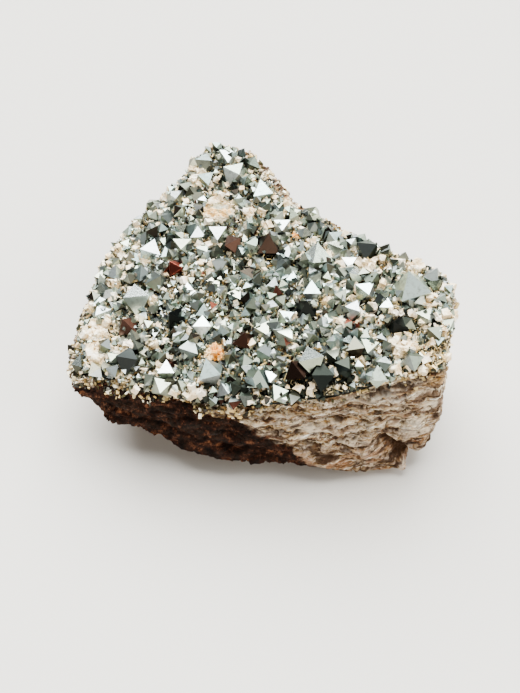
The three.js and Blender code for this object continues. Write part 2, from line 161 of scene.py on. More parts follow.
class SpecimenRock(bpy.types.PropertyGroup):
    cell: FloatProperty(
        name="Cell", description="Size of the faces that carry the relief",
        default=0.42 * MM, unit="LENGTH", precision=5)
    layer: FloatProperty(
        name="Layer", description="Thickness of the layers that the rock splits along",
        default=3.4 * MM, unit="LENGTH", precision=5)
    ledge: FloatProperty(
        name="Ledge", description="How far one layer stands out over the next",
        default=1.7 * MM, unit="LENGTH", precision=5)
    chip: FloatProperty(
        name="Chip", description="Width of the angular chips that the rock breaks into",
        default=4.2 * MM, unit="LENGTH", precision=5)
    lumps: FloatProperty(
        name="Lumps", description="Depth of the fine roughness",
        default=0.34 * MM, unit="LENGTH", precision=5)
    crumb: FloatProperty(
        name="Crumb", description="Width of the largest loose crumb of rock",
        default=1.2 * MM, unit="LENGTH", precision=5)
    seed: IntProperty(
        name="Seed", description="Which of many like patterns of chips is used",
        default=5, min=1)
    colour: FloatVectorProperty(
        name="Rock", description="Main colour of the broken rock",
        default=linear("#D6CAB8"), subtype="COLOR", size=4)
    # Near black, so that it paints the shade on the undercut rock as well: iron stain and painted
    # shade.
    stain_and_shade: FloatVectorProperty(
        name="Iron Stain", description="Colour of the stained, undercut rock",
        default=linear("#1E0E07"), subtype="COLOR", size=4)


class SpecimenDruse(bpy.types.PropertyGroup):
    spacing: FloatProperty(
        name="Spacing", description="Least distance between two middling crystals",
        default=1.9 * MM, unit="LENGTH", precision=5)
    least: FloatProperty(
        name="Least Edge", description="Edge of the smallest middling crystal",
        default=1.3 * MM, unit="LENGTH", precision=5)
    most: FloatProperty(
        name="Most Edge", description="Edge of the largest middling crystal",
        default=3.4 * MM, unit="LENGTH", precision=5)
    fine_spacing: FloatProperty(
        name="Fine Spacing", description="Least distance between two fine crystals",
        default=0.9 * MM, unit="LENGTH", precision=5)
    fine_edge: FloatProperty(
        name="Fine Edge", description="Edge of the largest fine crystal",
        default=1.5 * MM, unit="LENGTH", precision=5)
    grown_spacing: FloatProperty(
        name="Grown-on Spacing", description="Least distance between crystals grown on others",
        default=1.6 * MM, unit="LENGTH", precision=5)
    grown_edge: FloatProperty(
        name="Grown-on Edge", description="Edge of the largest crystal grown on another",
        default=2.4 * MM, unit="LENGTH", precision=5)
    grain_spacing: FloatProperty(
        name="Grain Spacing", description="Least distance between two feldspar grains",
        default=1.1 * MM, unit="LENGTH", precision=5)
    grain_size: FloatProperty(
        name="Grain Size", description="Width of the largest feldspar grain",
        default=1.9 * MM, unit="LENGTH", precision=5)
    flake_spacing: FloatProperty(
        name="Flake Spacing", description="Least distance between two mica flakes",
        default=0.58 * MM, unit="LENGTH", precision=5)
    flake_size: FloatProperty(
        name="Flake Size", description="Length of the largest mica flake",
        default=1.9 * MM, unit="LENGTH", precision=5)
    seed: IntProperty(name="Seed", description="Changes the places of the crystals", default=7)
    colour: FloatVectorProperty(
        name="Magnetite", description="Colour of the brightest crystal faces",
        default=linear("#D3DAD7"), subtype="COLOR", size=4)
    stained: FloatVectorProperty(
        name="Stained Magnetite", description="Colour of a face turned to red oxide",
        default=linear("#43362F"), subtype="COLOR", size=4)
    feldspar: FloatVectorProperty(
        name="Feldspar", description="Colour of the feldspar grains",
        default=linear("#F2DFBC"), subtype="COLOR", size=4)
    mica: FloatVectorProperty(
        name="Mica", description="Colour of the weathered mica flakes",
        default=linear("#B9A477"), subtype="COLOR", size=4)
    limonite: FloatVectorProperty(
        name="Limonite", description="Colour of the iron-stained grains",
        default=linear("#EBAE66"), subtype="COLOR", size=4)


class SpecimenStage(bpy.types.PropertyGroup):
    floor: FloatVectorProperty(
        name="Floor", description="Colour of the floor",
        default=linear("#C4C1BC"), subtype="COLOR", size=4)
    key_power: FloatProperty(
        name="Key Light", description="Strength of the wide light above and behind",
        default=12.0, min=0)
    fill_power: FloatProperty(
        name="Fill Light", description="Strength of the light on the broken front",
        default=2.2, min=0)
    distance: FloatProperty(
        name="Camera Distance", description="From the camera to the point it looks at",
        default=222 * MM, unit="LENGTH")
    elevation: FloatProperty(
        name="Camera Elevation", description="Angle of the view above the floor",
        default=math.radians(56), subtype="ANGLE")


def add(tree, kind, inputs=None, stops=None, **settings):
    """Add a node: its settings, then its inputs by name or number. An input is a value, a
    socket to link, or a node, which is linked by its first output in use."""
    node = tree.nodes.new(kind)
    for name, value in settings.items():
        setattr(node, name, value)
    for key, value in (inputs or {}).items():
        if isinstance(value, bpy.types.Node):
            value = next(socket for socket in value.outputs if socket.enabled)
        if isinstance(value, bpy.types.NodeSocket):
            tree.links.new(value, node.inputs[key])
        else:
            node.inputs[key].default_value = value
    if stops:
        ramp = node.color_ramp.elements
        ramp[0].position = stops[0][0]
        ramp[1].position = stops[-1][0]
        for position, _ in stops[1:-1]:
            ramp.new(position)
        for element, (_, colour) in zip(ramp, stops):
            element.color = linear(colour) if isinstance(colour, str) else colour
    return node


def new_material(name):
    """An empty material and its tree."""
    material = bpy.data.materials.new(name)
    material.use_nodes = True
    material.node_tree.nodes.clear()
    return material, material.node_tree


def rock_material(rock):
    """Banded gneiss, broken by a hammer: a dry, matt face of sugary grains in thin layers.
    Painted shade darkens its hollows, cracks and the rock under the rim, with clouds of dirt,
    a painted highlight lightens its crests, and water has left a dark iron stain on the
    undercut part, deepened by painted shade."""
    material, tree = new_material("Gneiss broken along its layers")
    place = add(tree, "ShaderNodeTexCoord").outputs["Object"]
    # The layers are 1 to 8 mm thick, so the noise is stretched seven times along them.
    layered = add(tree, "ShaderNodeMapping", {
        "Vector": place, "Rotation": (0, math.radians(-4), 0), "Scale": (95, 95, 640)})
    bands = add(tree, "ShaderNodeTexNoise", {
        "Vector": layered, "Scale": 1.0, "Detail": 6.0, "Roughness": 0.62, "Distortion": 0.5})
    band_colour = add(tree, "ShaderNodeValToRGB", {"Fac": bands}, stops=[
        (0.30, "#78695D"), (0.39, "#A99D90"), (0.47, rock.colour[:]), (0.54, "#E9E1D4"),
        (0.60, "#B5ADA4"), (0.69, "#D8CBB8")])
    # Wavy wisps of quartz and mica, 0.5 mm thick and 4 mm long.
    drawn_out = add(tree, "ShaderNodeMapping", {
        "Vector": place, "Rotation": (0, math.radians(-3), 0), "Scale": (260, 260, 1900)})
    wisps = add(tree, "ShaderNodeTexNoise", {
        "Vector": drawn_out, "Scale": 1.0, "Detail": 5.0, "Roughness": 0.66, "Distortion": 1.1})
    wisp_colour = add(tree, "ShaderNodeValToRGB", {"Fac": wisps}, stops=[
        (0.33, "#1E1B18"), (0.42, "#666058"), (0.50, "#9B9894"), (0.57, "#CFCDC9"),
        (0.66, "#FFFFFD")])
    paint = add(tree, "ShaderNodeMix", {0: 0.95, 6: band_colour, 7: wisp_colour},
                data_type="RGBA", blend_type="OVERLAY")
    # Mottling from 2 mm down to what the eye just sees.
    mottle = add(tree, "ShaderNodeTexNoise", {
        "Vector": place, "Scale": 420.0, "Detail": 9.0, "Roughness": 0.78})
    mottle_colour = add(tree, "ShaderNodeValToRGB", {"Fac": mottle}, stops=[
        (0.34, "#2E2925"), (0.44, "#7C7872"), (0.50, "#999693"), (0.58, "#BDBBB7"),
        (0.68, "#F2F1EE")])
    paint = add(tree, "ShaderNodeMix", {0: 0.8, 6: paint, 7: mottle_colour},
                data_type="RGBA", blend_type="OVERLAY")
    # Dark grains of 0.5 mm, and pale ones that are painted glints.
    grains = add(tree, "ShaderNodeTexVoronoi", {"Vector": place, "Scale": 2000.0})
    grain = add(tree, "ShaderNodeSeparateColor", {"Color": grains.outputs["Color"]}).outputs
    speck = add(tree, "ShaderNodeMapRange", {"Value": grain[0], 1: 0.66, 4: 0.42})
    painted_glint = add(tree, "ShaderNodeMapRange", {"Value": grain[1], 1: 0.78, 4: 0.6})
    # Dark lenses, up to 1.2 mm thick and 4 mm long.
    lens_place = add(tree, "ShaderNodeMapping", {
        "Vector": place, "Rotation": (0, math.radians(-4), 0), "Scale": (125, 125, 400)})
    lenses = add(tree, "ShaderNodeTexVoronoi", {"Vector": lens_place, "Scale": 1.0})
    lens = add(tree, "ShaderNodeMapRange", {"Value": lenses, 1: 0.12, 2: 0.24, 3: 0.8, 4: 0.0})
    # Over them lies what is stored for each point of the rock, under its name: a painted
    # highlight on the crests, and painted shade mixed with dirt in the hollows.
    for share, colour, blend in (
            (speck, "#5F4F40", "MIX"), (painted_glint, "#DCCDB2", "MIX"), (lens, "#3D2E26", "MIX"),
            ("crest_highlight", "#F2E9DA", "MIX"), ("cream", "#F4E8D2", "MIX"),
            ("gold", "#E8C27A", "MULTIPLY"), ("rust", "#B98F76", "MULTIPLY"),
            ("pale", "#B9B4A8", "MIX"), ("shade_and_dirt", "#34200F", "MIX")):
        if isinstance(share, str):
            share = add(tree, "ShaderNodeAttribute", attribute_name=share).outputs["Fac"]
        paint = add(tree, "ShaderNodeMix", {0: share, 6: paint, 7: linear(colour)},
                    data_type="RGBA", blend_type=blend)
    # The iron stain, deepened by painted shade on the undercut rock.
    stain_and_shade = add(tree, "ShaderNodeAttribute", attribute_name="stain_and_shade").outputs["Fac"]
    ragged = add(tree, "ShaderNodeMath", {0: stain_and_shade, 1: mottle})
    stain_and_shade_share = add(tree, "ShaderNodeMapRange", {"Value": ragged, 1: 0.55, 2: 1.15, 4: 0.97})
    stain_and_shade_colour = add(tree, "ShaderNodeValToRGB", {"Fac": mottle}, stops=[
        (0.36, "#040202"), (0.46, rock.stain_and_shade[:]), (0.54, "#381C11"), (0.66, "#96664A")])
    stained = add(tree, "ShaderNodeMix", {0: stain_and_shade_share, 6: paint, 7: stain_and_shade_colour},
                  data_type="RGBA")
    wisp_height = add(tree, "ShaderNodeMath", {0: wisps, 1: 1.6}, operation="MULTIPLY")
    grain_height = add(tree, "ShaderNodeMath", {0: grain[2], 1: 0.22}, operation="MULTIPLY")
    fine_height = add(tree, "ShaderNodeMath", {0: mottle, 1: grain_height})
    height = add(tree, "ShaderNodeMath", {0: wisp_height, 1: fine_height})
    bump = add(tree, "ShaderNodeBump", {
        "Strength": 1.0, "Distance": 0.45 * MM, "Height": height})
    shader = add(tree, "ShaderNodeBsdfPrincipled", {
        "Base Color": stained, "Roughness": 0.86, "Specular IOR Level": 0.25, "Normal": bump})
    add(tree, "ShaderNodeOutputMaterial", {"Surface": shader})
    return material


def bed_material(druse):
    """The floor of the druse: a loose sand of tiny crystals and weathered mica, dark olive
    in the gaps and golden where iron has stained it, and chalky feldspar where that
    fills the druse."""
    material, tree = new_material("Iron-stained crystal sand")
    place = add(tree, "ShaderNodeTexCoord").outputs["Object"]
    # Grains of 0.4 mm.
    grains = add(tree, "ShaderNodeTexVoronoi", {"Vector": place, "Scale": 2400.0})
    tone = add(tree, "ShaderNodeSeparateColor", {"Color": grains.outputs["Color"]}).outputs
    dark = add(tree, "ShaderNodeValToRGB", {"Fac": tone[0]}, stops=[
        (0.0, "#12110D"), (0.45, "#35301F"), (0.7, "#6F6549"), (0.9, "#CFC4A4")])
    gold = add(tree, "ShaderNodeValToRGB", {"Fac": tone[1]}, stops=[
        (0.0, "#2B1F12"), (0.35, "#77603A"), (0.65, "#BBA06C"), (0.9, "#F0E3C6")])
    # Patches of 7 mm.
    patches = add(tree, "ShaderNodeTexNoise", {
        "Vector": place, "Scale": 150.0, "Detail": 5.0, "Roughness": 0.6})
    share = add(tree, "ShaderNodeMapRange", {"Value": patches, 1: 0.42, 2: 0.60})
    sand = add(tree, "ShaderNodeMix", {0: share, 6: dark, 7: gold}, data_type="RGBA")
    # Clouds of 2 mm.
    clouds = add(tree, "ShaderNodeTexNoise", {
        "Vector": place, "Scale": 500.0, "Detail": 7.0, "Roughness": 0.7})
    chalk = add(tree, "ShaderNodeValToRGB", {"Fac": clouds}, stops=[
        (0.32, "#7A6245"), (0.43, "#D3B58A"), (0.52, druse.feldspar[:]), (0.66, "#FBF4E4")])
    filled = add(tree, "ShaderNodeAttribute", attribute_name="filled").outputs["Fac"]
    ragged = add(tree, "ShaderNodeMath", {0: filled, 1: clouds})
    edge = add(tree, "ShaderNodeMapRange", {"Value": ragged, 1: 0.72, 2: 0.86})
    mixed = add(tree, "ShaderNodeMix", {0: edge, 6: sand, 7: chalk}, data_type="RGBA")
    height = add(tree, "ShaderNodeMath", {0: tone[2], 1: clouds})
    bump = add(tree, "ShaderNodeBump", {
        "Strength": 0.9, "Distance": 0.3 * MM, "Height": height})
    shader = add(tree, "ShaderNodeBsdfPrincipled", {
        "Base Color": mixed, "Roughness": 0.62, "Normal": bump})
    add(tree, "ShaderNodeOutputMaterial", {"Surface": shader})
    return material


def magnetite_material(name, tones, worn_colour, tints):
    """Natural crystal faces of magnetite: flat, with a submetallic satin shine that is a
    little different on each face. Each crystal has its own brightness, which for the large
    crystals and those in the hollows also holds painted light and shade."""
    material, tree = new_material(name)
    place = add(tree, "ShaderNodeTexCoord").outputs["Object"]
    facet = add(tree, "ShaderNodeAttribute", attribute_name="facet").outputs["Fac"]
    tone = add(tree, "ShaderNodeAttribute", attribute_name="tone").outputs["Fac"]
    body = add(tree, "ShaderNodeValToRGB", {"Fac": tone}, stops=tones)
    tint = add(tree, "ShaderNodeValToRGB", {"Fac": facet}, stops=tints)
    tint.color_ramp.interpolation = "CONSTANT"
    face = add(tree, "ShaderNodeMix", {0: 1.0, 6: body, 7: tint},
               data_type="RGBA", blend_type="MULTIPLY")
    # Growth hillocks of about 0.9 mm make each face a little uneven.
    hillocks = add(tree, "ShaderNodeTexNoise", {
        "Vector": place, "Scale": 1100.0, "Detail": 5.0, "Roughness": 0.65})
    wear = add(tree, "ShaderNodeMapRange", {"Value": hillocks, 1: 0.50, 2: 0.72, 4: 0.5})
    # A dark crystal shows little wear.
    shown = add(tree, "ShaderNodeMath", {0: wear, 1: tone}, operation="MULTIPLY")
    worn = add(tree, "ShaderNodeMix", {0: shown, 6: face, 7: linear(worn_colour)},
               data_type="RGBA")
    # A part of the facet's number that its tint doesn't use sets its shine.
    spread = add(tree, "ShaderNodeMath", {0: facet, 1: 7.31}, operation="MULTIPLY")
    shine = add(tree, "ShaderNodeMath", {0: spread}, operation="FRACT")
    roughness = add(tree, "ShaderNodeMapRange", {"Value": shine, 3: 0.24, 4: 0.48})
    bump = add(tree, "ShaderNodeBump", {
        "Strength": 0.35, "Distance": 0.08 * MM, "Height": hillocks})
    shader = add(tree, "ShaderNodeBsdfPrincipled", {
        "Base Color": worn, "Metallic": 0.9, "Roughness": roughness, "Normal": bump})
    add(tree, "ShaderNodeOutputMaterial", {"Surface": shader})
    return material


def fresh_magnetite(druse):
    """Unaltered magnetite: steel grey, with bluish, greenish and a few bronze faces."""
    return magnetite_material(
        "Magnetite with grown octahedral faces",
        [(0.0, "#060706"), (0.3, "#4C5250"), (0.6, "#959D99"), (1.0, druse.colour[:])],
        "#57574B", [
            (0.0, "#FFFFFF"), (0.2, "#E6F1F0"), (0.32, "#EFF5E6"), (0.46, "#D9D8C9"),
            (0.6, "#EAE8EC"), (0.68, "#BFC0AE"), (0.78, "#FBF5E4"), (0.88, "#8F897B"),
            (0.95, "#6A5A50"), (0.99, "#A25E4E")])


def stained_magnetite(druse):
    """Magnetite that is turning to red oxide: near black in its body, brown to red on the
    brightest crystals."""
    return magnetite_material(
        "Magnetite turned to red oxide on its faces",
        [(0.0, "#080605"), (0.5, druse.stained[:]), (0.75, "#6B5147"), (1.0, "#B0685A")],
        "#3A2A22", [
            (0.0, "#FFFFFF"), (0.35, "#B4A8A2"), (0.6, "#F0E0D8"), (0.8, "#908682"),
            (0.92, "#FFEEE4")])


def feldspar_material(druse):
    """Potassium feldspar, weathered: chalky cream grains with a peach tint and a faint
    gloss on fresh cleavage."""
    material, tree = new_material("Feldspar weathered to a chalky face")
    place = add(tree, "ShaderNodeTexCoord").outputs["Object"]
    clouds = add(tree, "ShaderNodeTexNoise", {
        "Vector": place, "Scale": 420.0, "Detail": 6.0, "Roughness": 0.65})
    colour = add(tree, "ShaderNodeValToRGB", {"Fac": clouds}, stops=[
        (0.28, "#9A7F5A"), (0.38, "#DCC39A"), (0.47, druse.feldspar[:]), (0.60, "#FCF6E6"),
        (0.78, "#E6E0D0")])
    # Sugary grains of 0.4 mm.
    sugar = add(tree, "ShaderNodeTexVoronoi", {"Vector": place, "Scale": 2500.0})
    speck = add(tree, "ShaderNodeMapRange", {"Value": sugar, 2: 0.55, 4: 0.22})
    speckled = add(tree, "ShaderNodeMix", {0: speck, 6: colour, 7: linear("#86704F")},
                   data_type="RGBA")
    # The largest lump is grey-green in its middle and peach round it.
    core = add(tree, "ShaderNodeAttribute", attribute_name="core").outputs["Fac"]
    zones = add(tree, "ShaderNodeValToRGB", {"Fac": core}, stops=[
        (0.0, "#FFFFFF"), (0.18, "#FFE2B4"), (0.42, "#FFDDAA"), (0.6, "#B4BAB2")])
    zoned = add(tree, "ShaderNodeMix", {0: 1.0, 6: speckled, 7: zones},
                data_type="RGBA", blend_type="MULTIPLY")
    bump = add(tree, "ShaderNodeBump", {
        "Strength": 0.5, "Distance": 0.2 * MM, "Height": sugar})
    shader = add(tree, "ShaderNodeBsdfPrincipled", {
        "Base Color": zoned, "Roughness": 0.55, "Normal": bump})
    add(tree, "ShaderNodeOutputMaterial", {"Surface": shader})
    return material


def mica_material(druse):
    """Weathered mica: thin flakes between the crystals, golden brown to olive, with a
    greasy sheen and pale edges."""
    material, tree = new_material("Mica weathered to golden flakes")
    tone = add(tree, "ShaderNodeAttribute", attribute_name="tone").outputs["Fac"]
    colour = add(tree, "ShaderNodeValToRGB", {"Fac": tone}, stops=[
        (0.0, "#1E1A10"), (0.2, "#4F4A30"), (0.34, druse.mica[:]), (0.56, "#DACCA6"),
        (0.68, "#7C6238"), (0.78, "#F2EAD4"), (0.88, "#3B3A2C"), (0.96, "#E6C98C")])
    colour.color_ramp.interpolation = "CONSTANT"
    shader = add(tree, "ShaderNodeBsdfPrincipled", {"Base Color": colour, "Roughness": 0.38})
    add(tree, "ShaderNodeOutputMaterial", {"Surface": shader})
    return material


def limonite_material(druse, middle):
    """Limonite: earthy rust in a porous crust, brightest on its high points, that fades to
    peach on the left of the middle of the larger lump."""
    material, tree = new_material("Limonite in an earthy crust")
    place = add(tree, "ShaderNodeTexCoord").outputs["Object"]
    pores = add(tree, "ShaderNodeTexNoise", {
        "Vector": place, "Scale": 900.0, "Detail": 7.0, "Roughness": 0.7})
    rust = add(tree, "ShaderNodeValToRGB", {"Fac": pores}, stops=[
        (0.30, "#A3602A"), (0.42, "#DE9244"), (0.52, druse.limonite[:]), (0.64, "#F9DAAC")])
    peach = add(tree, "ShaderNodeValToRGB", {"Fac": pores}, stops=[
        (0.30, "#B08656"), (0.42, "#E6BC8A"), (0.54, "#F8DDAE"), (0.66, "#FDEED2")])
    across = add(tree, "ShaderNodeSeparateXYZ", {0: place})
    fade = add(tree, "ShaderNodeMapRange", {
        "Value": across, 1: middle - 1.2 * MM, 2: middle + 0.2 * MM})
    colour = add(tree, "ShaderNodeMix", {0: fade, 6: peach, 7: rust}, data_type="RGBA")
    bump = add(tree, "ShaderNodeBump", {
        "Strength": 0.9, "Distance": 0.4 * MM, "Height": pores})
    shader = add(tree, "ShaderNodeBsdfPrincipled", {
        "Base Color": colour, "Roughness": 0.8, "Normal": bump})
    add(tree, "ShaderNodeOutputMaterial", {"Surface": shader})
    return material


def merged_copy(nodes, tones=None):
    """One mesh from CAD nodes, with the loose triangles of each joined at their corners.
    Tones give the brightness that each node's corners keep."""
    whole = bmesh.new()
    keep = whole.verts.layers.float.new("tone")
    for name in nodes:
        start = len(whole.verts)
        whole.from_mesh(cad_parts[name].data)
        whole.verts.ensure_lookup_table()
        for corner in whole.verts[start:]:
            corner[keep] = (tones or {}).get(name, COMMON_TONE)
    bmesh.ops.remove_doubles(whole, verts=whole.verts, dist=0.002 * MM)
    bmesh.ops.dissolve_degenerate(whole, edges=whole.edges, dist=0.001 * MM)
    return whole


def plain_mesh(name, shape):
    """A mesh from a shape in the making, which is used up."""
    data = bpy.data.meshes.new(name)
    shape.to_mesh(data)
    shape.free()
    return data


def new_piece(name, data, material):
    """An object for a finished or starting mesh, with one material on all its faces."""
    data.materials.clear()
    data.materials.append(material)
    data.polygons.foreach_set("material_index", [0] * len(data.polygons))
    piece = bpy.data.objects.new(name, data)
    bpy.context.scene.collection.objects.link(piece)
    return piece


def settle(piece):
    """Make the piece's modifiers real, and take them off."""
    depsgraph = bpy.context.evaluated_depsgraph_get()
    mesh = bpy.data.meshes.new_from_object(piece.evaluated_get(depsgraph))
    piece.modifiers.clear()
    piece.data = mesh


def remake_in_cells(piece, size):
    """Build the piece's surface anew from even cells of a size."""
    remesh = piece.modifiers.new("Cells", "REMESH")
    remesh.mode = "VOXEL"
    remesh.voxel_size = size
    settle(piece)


def hand_over(piece, slot, *nodes):
    """Put the piece on the specimen's one body, in place of CAD nodes."""
    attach(piece, "root")
    if nodes:
        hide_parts(*nodes)


def rows(collection, key):
    """A mesh's vectors as rows of x, y and z."""
    flat = np.empty(len(collection) * 3)
    collection.foreach_get(key, flat)
    return flat.reshape(-1, 3)


def store(mesh, name, values, domain="POINT"):
    """Keep one number for each vertex or face."""
    if name in mesh.attributes:
        mesh.attributes.remove(mesh.attributes[name])
    layer = mesh.attributes.new(name, "FLOAT", domain)
    layer.data.foreach_set("value", np.asarray(values, dtype=np.float32))


def stored(mesh, name):
    """The numbers that are kept for each vertex or face."""
    layer = mesh.attributes[name].data
    values = np.empty(len(layer), dtype=np.float32)
    layer.foreach_get("value", values)
    return values


def smooth_step(low, high, value):
    """From 0 at one value to 1 at the other, with soft ends. Either may be the larger."""
    share = np.clip((value - low) / (high - low), 0, 1)
    return share * share * (3 - 2 * share)


def away(points, middle, wide=1, deep=1):
    """How far points are from a middle, counted in half widths and half depths."""
    return np.hypot((points[:, 0] - middle[0]) / wide, (points[:, 1] - middle[1]) / deep)


def clumps(points, size, level):
    """Soft random clumps of a size, seen from above: from about -1 to 1."""
    return np.array([noise.noise(Vector((p[0] / size, p[1] / size, level))) for p in points])


def rough(points, smoothness, finer=2.1):
    """Roughness of four sizes, the coarsest one unit wide and each of the next finer by a
    factor: from about -1 to 1."""
    return np.array([noise.fractal(Vector(p), smoothness, finer, 4) for p in points])


def number_facets(mesh, seed):
    """Give each flat crystal face its own number from 0 to 1, on all its triangles."""
    source = random.Random(seed)
    shape = bmesh.new()
    shape.from_mesh(mesh)
    numbers = [None] * len(shape.faces)
    for first in shape.faces:
        if numbers[first.index] is not None:
            continue
        number = source.random()
        numbers[first.index] = number
        todo = [first]
        while todo:
            face = todo.pop()
            for edge in face.edges:
                for other in edge.link_faces:
                    level = face.normal.dot(other.normal) > 0.9995
                    if numbers[other.index] is None and level:
                        numbers[other.index] = number
                        todo.append(other)
    shape.free()
    store(mesh, "facet", numbers, "FACE")
    return np.array(numbers)


def tree_of(nodes):
    """The surface of CAD nodes, for finding heights and what is covered."""
    mesh = merged_copy(nodes)
    surface = BVHTree.FromBMesh(mesh)
    mesh.free()
    return surface


def height_under(surface, x, y, steep=0.0):
    """Height in millimetres where a plumb line meets the surface, or None off it or on a
    steep side."""
    hit, normal, _, _ = surface.ray_cast(Vector((x * MM, y * MM, 1)), Vector((0, 0, -1)))
    return hit.z / MM if hit and abs(normal.z) > steep else None


def inside_edge(points):
    """Distance in millimetres from the druse's edge, positive inside it."""
    edge = np.array(CRUST_EDGE)
    nearest = np.full(len(points), 1e9)
    inside = np.zeros(len(points), bool)
    for a, b in zip(edge, np.roll(edge, -1, axis=0)):
        along = b - a
        share = np.clip((points - a) @ along / (along @ along), 0, 1)
        gap = np.linalg.norm(points - a - share[:, None] * along, axis=1)
        nearest = np.minimum(nearest, gap)
        spans = (a[1] > points[:, 1]) != (b[1] > points[:, 1])
        rise = along[1] if along[1] else 1e-9
        inside ^= spans & (points[:, 0] < along[0] * (points[:, 1] - a[1]) / rise + a[0])
    return np.where(inside, nearest, -nearest)


def drop_below_rim(points):
    """How far each point of the rock lies below the nearest stretch of the druse's edge,
    and how far to the side of it, in millimetres."""
    rock = tree_of(["host_rock"])
    edge = np.array(CRUST_EDGE)
    drop = np.full(len(points), 99.0)
    beside = np.full(len(points), 1e9)
    for a, b in zip(edge, np.roll(edge, -1, axis=0)):
        for share in (0.1, 0.3, 0.5, 0.7, 0.9):
            x, y = a + share * (b - a)
            # The plumb line falls a little inside the edge, where there is rock.
            height = height_under(rock, x * 0.985, y * 0.985)
            gap = away(points, (x, y))
            nearer = gap < beside
            beside[nearer] = gap[nearer]
            drop[nearer] = height - points[nearer, 2]
    return drop, beside


def filled_by_feldspar(points):
    """From 0 in the open druse to 1 in the middle of a mass of feldspar."""
    share = np.zeros(len(points))
    for x, y, radius in FELDSPAR_PATCHES:
        near = smooth_step(1.25, 0.55, away(points, (x, y), radius, radius))
        share = np.maximum(share, near)
    return share


def ledge_relief(p, rock):
    """How far the layers stand out at a point in millimetres, and how deep it lies in a
    crack between two. The layers fan out: they climb to the right near the top, and fall
    to the right near the foot."""
    x, y, z = p
    climb = 0.13 - 0.30 * float(smooth_step(26, 8, z))
    level = (z - (x - 10) * climb) / (rock.layer / MM)
    total = 0.0
    crack = 0.0
    for finer, depth, reach in ((1.0, 1.0, 13.0), (2.9, 0.4, 7.0)):
        at = level * finer + 0.9 * noise.noise(Vector((x / 12, y / 12, 4.7 * finer)))
        index = math.floor(at)
        part = at - index
        here = noise.noise(Vector((x / reach, y / reach, index * 5.13)))
        above = noise.noise(Vector((x / reach, y / reach, (index + 1) * 5.13)))
        turn = min(max((part - 0.8) / 0.2, 0.0), 1.0)
        total += depth * rock.ledge / MM * (here + (above - here) * turn * turn)
        broken = noise.noise(Vector((x / 6, y / 6, index * 9.1 + finer)))
        narrow = max(0.0, 1 - abs(part - 0.9) / (0.1 * finer))
        crack += depth * narrow * min(max(broken * 4 - 0.1, 0.0), 1.0)
    return total, min(crack, 1.0)


def chip_relief(p, wide, seed):
    """How far an angular chip of the break stands out at a point in millimetres, as a share
    of its depth, and how near the point is to the seam between two chips."""
    place = Vector((p[0] / wide, p[1] / wide, p[2] / wide * 1.7 + seed))
    place += 0.35 * noise.noise_vector(place * 1.3)
    gaps, centres = noise.voronoi(place)
    centre = centres[0]
    lean = noise.noise_vector(centre * 7.7)
    step = noise.noise(centre * 13.1)
    return 0.8 * step + 1.1 * lean.dot(place - centre), gaps[1] - gaps[0]


def crevice(p):
    """How deep a point lies in the branching crevices that follow the layers."""
    place = Vector((p[0] / 5.5, p[1] / 5.5, (p[2] - 0.1 * p[0]) / 2.2))
    vein = abs(noise.fractal(place, 0.8, 2.1, 4))
    open_here = noise.noise(Vector((p[0] / 9, p[1] / 9, p[2] / 5 + 31)))
    return max(0.0, 1 - vein / 0.09) * min(max(open_here * 3 + 0.5, 0.0), 1.0)


def soften(mesh, values, rounds):
    """Average each vertex's value with its neighbours', over and over."""
    ends = np.empty(len(mesh.edges) * 2, dtype=np.int64)
    mesh.edges.foreach_get("vertices", ends)
    one, other = ends.reshape(-1, 2).T
    count = np.bincount(ends, minlength=len(values))
    for _ in range(rounds):
        total = np.bincount(one, values[other], len(values))
        total += np.bincount(other, values[one], len(values))
        values = 0.5 * values + 0.5 * total / count
    return values


def front_relief(points):
    """The hollows and bumps of the broken front, in millimetres."""
    x, y, z = points.T
    total = np.zeros(len(points))
    for at, level, wide, tall, rise in FRONT_SHAPES:
        total += rise * smooth_step(1.3, 0.4, away(points[:, [0, 2]], (at, level), wide, tall))
    waver = np.array([noise.noise(Vector((place / 2, 3, 0))) for place in x])
    under = np.interp(x, *zip(*FRONT_LIP)) + 0.5 * waver - z
    broken = smooth_step(0, 0.7, under) * smooth_step(7.0, 2.0, under)
    total -= 2.8 * (broken * smooth_step(26, 34, x) * smooth_step(43.6, 41, x))
    return np.where(y > -20, 0.0, total)


def cell_mesh(rock):
    """The host rock in even cells: fine on its broken sides, and twice as wide under the
    druse and on the foot."""
    solid = plain_mesh("rock", merged_copy(["host_rock"]))
    piece = new_piece("rock", solid, rock_material(rock))
    remake_in_cells(piece, 2 * rock.cell)
    points = rows(piece.data.vertices, "co") / MM
    shape = bmesh.new()
    shape.from_mesh(piece.data)
    up = np.array([v.normal.z for v in shape.verts])
    plain = (inside_edge(points[:, :2]) > 2.5) & (up > 0.4) | (points[:, 2] < 0.3)
    edges = [e for e in shape.edges if not (plain[e.verts[0].index] and plain[e.verts[1].index])]
    bmesh.ops.subdivide_edges(shape, edges=edges, cuts=1, use_grid_fill=True)
    bmesh.ops.triangulate(shape, faces=[f for f in shape.faces if len(f.verts) > 4])
    for _ in range(2):
        bmesh.ops.smooth_vert(shape, verts=shape.verts, factor=0.5, use_axis_x=True,
                              use_axis_y=True, use_axis_z=True)
    for corner in shape.verts:
        if corner.co.z < 0.25 * MM:
            corner.co.z = 0
    shape.to_mesh(piece.data)
    shape.free()
    return piece


